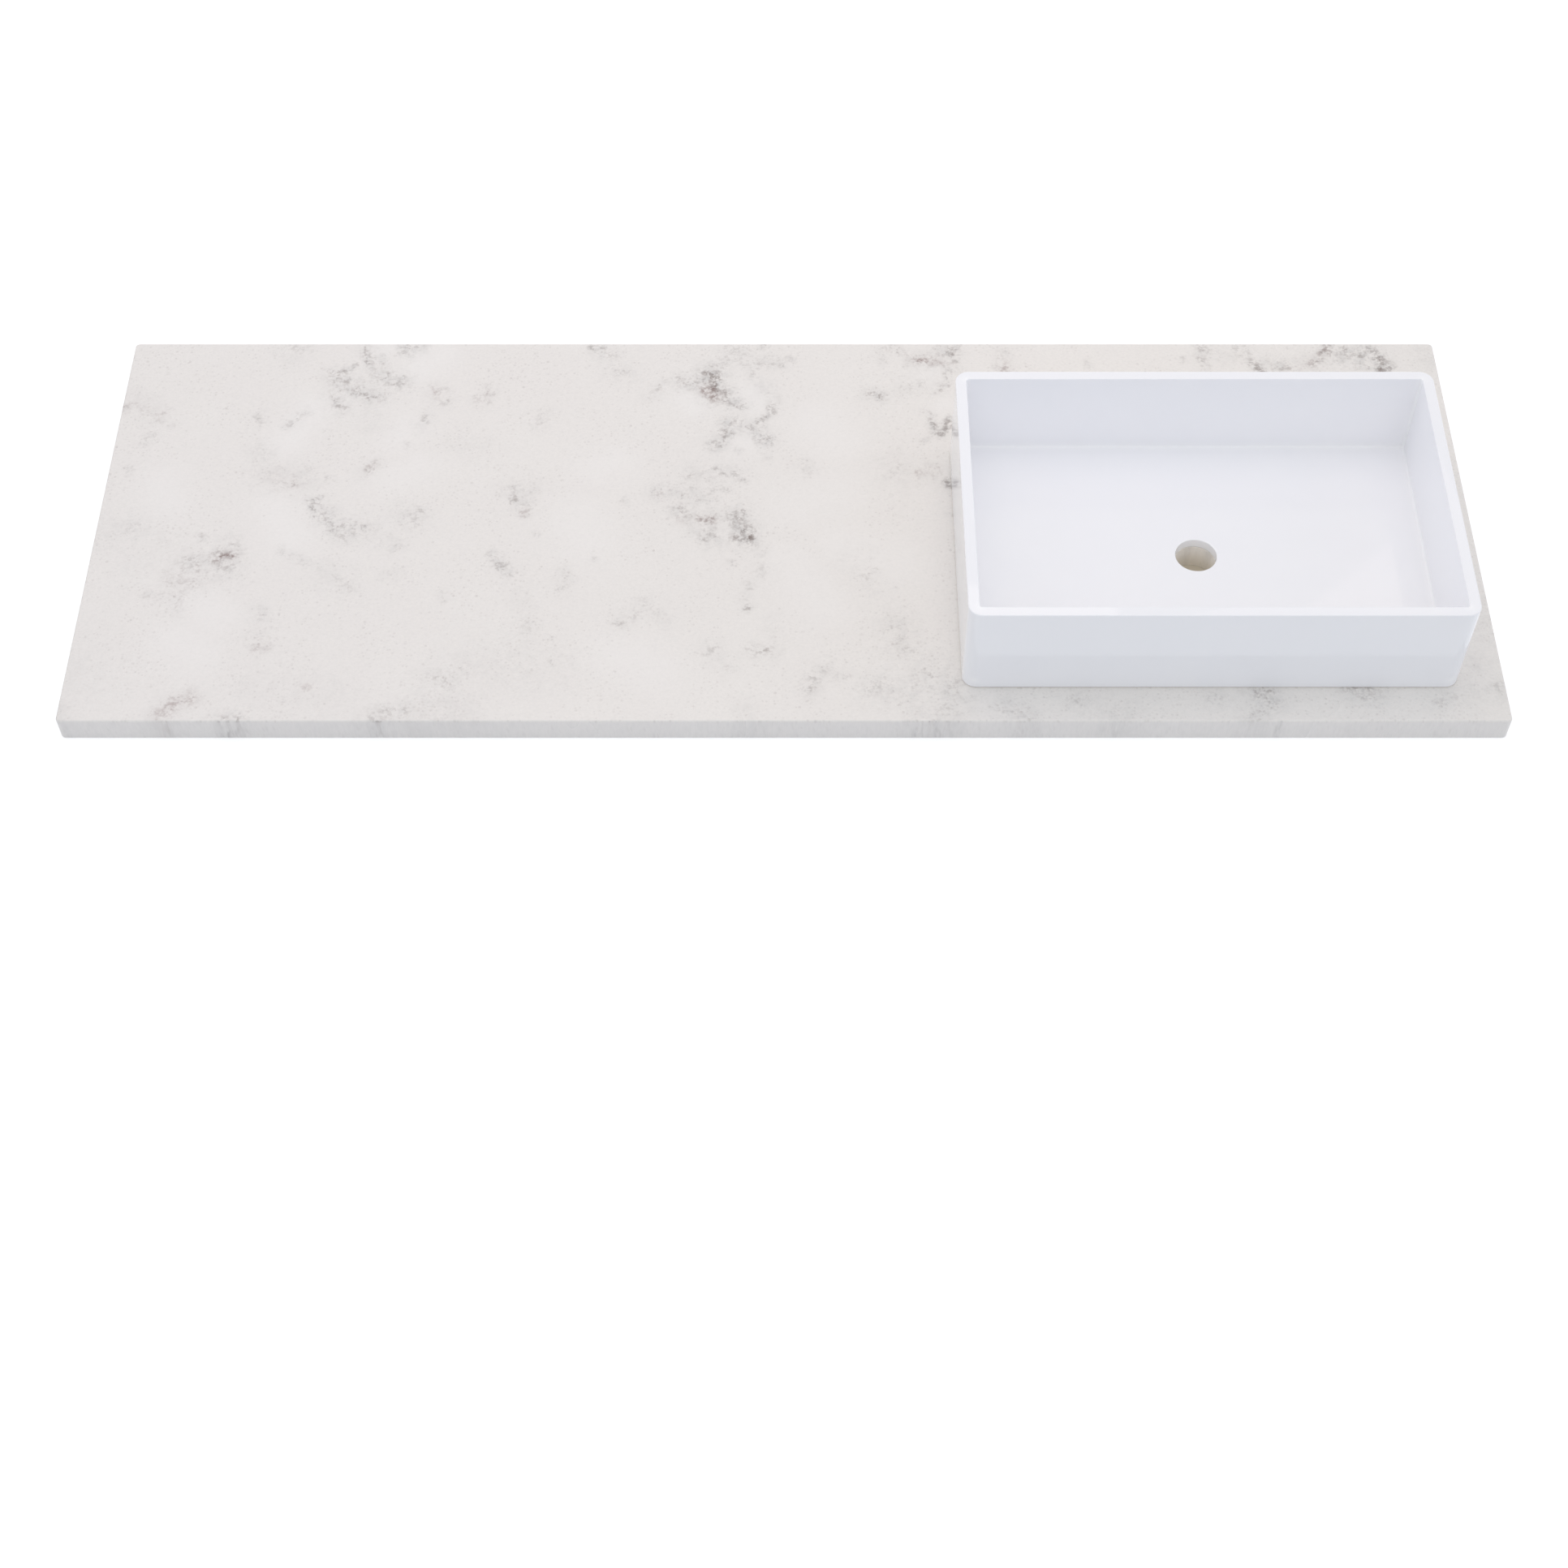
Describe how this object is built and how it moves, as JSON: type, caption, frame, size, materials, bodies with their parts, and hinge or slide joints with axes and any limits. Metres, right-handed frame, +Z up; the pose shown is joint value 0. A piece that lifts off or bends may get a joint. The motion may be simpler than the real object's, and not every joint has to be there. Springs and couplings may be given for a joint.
{
  "type": "vanity sink top",
  "caption": "Engineered-quartz vanity top with a rectangular above-counter basin bedded on its right-hand end and a bare waste hole through both.",
  "frame": {"origin": "centre of the slab's underside, in the plane that rests on the cabinet", "axes": "+X along the slab to the user's right, +Y to the wall behind, +Z up"},
  "size_m": [1.524, 0.559, 0.148],
  "materials": {
    "quartz": "polished",
    "basin_glaze": "gloss",
    "silicone": "satin"
  },
  "bodies": {
    "root": {"quartz_slab": "quartz", "basin": "basin_glaze", "bedding_bead": "silicone", "waste_hole_seal": "silicone"}
  },
  "joints": []
}
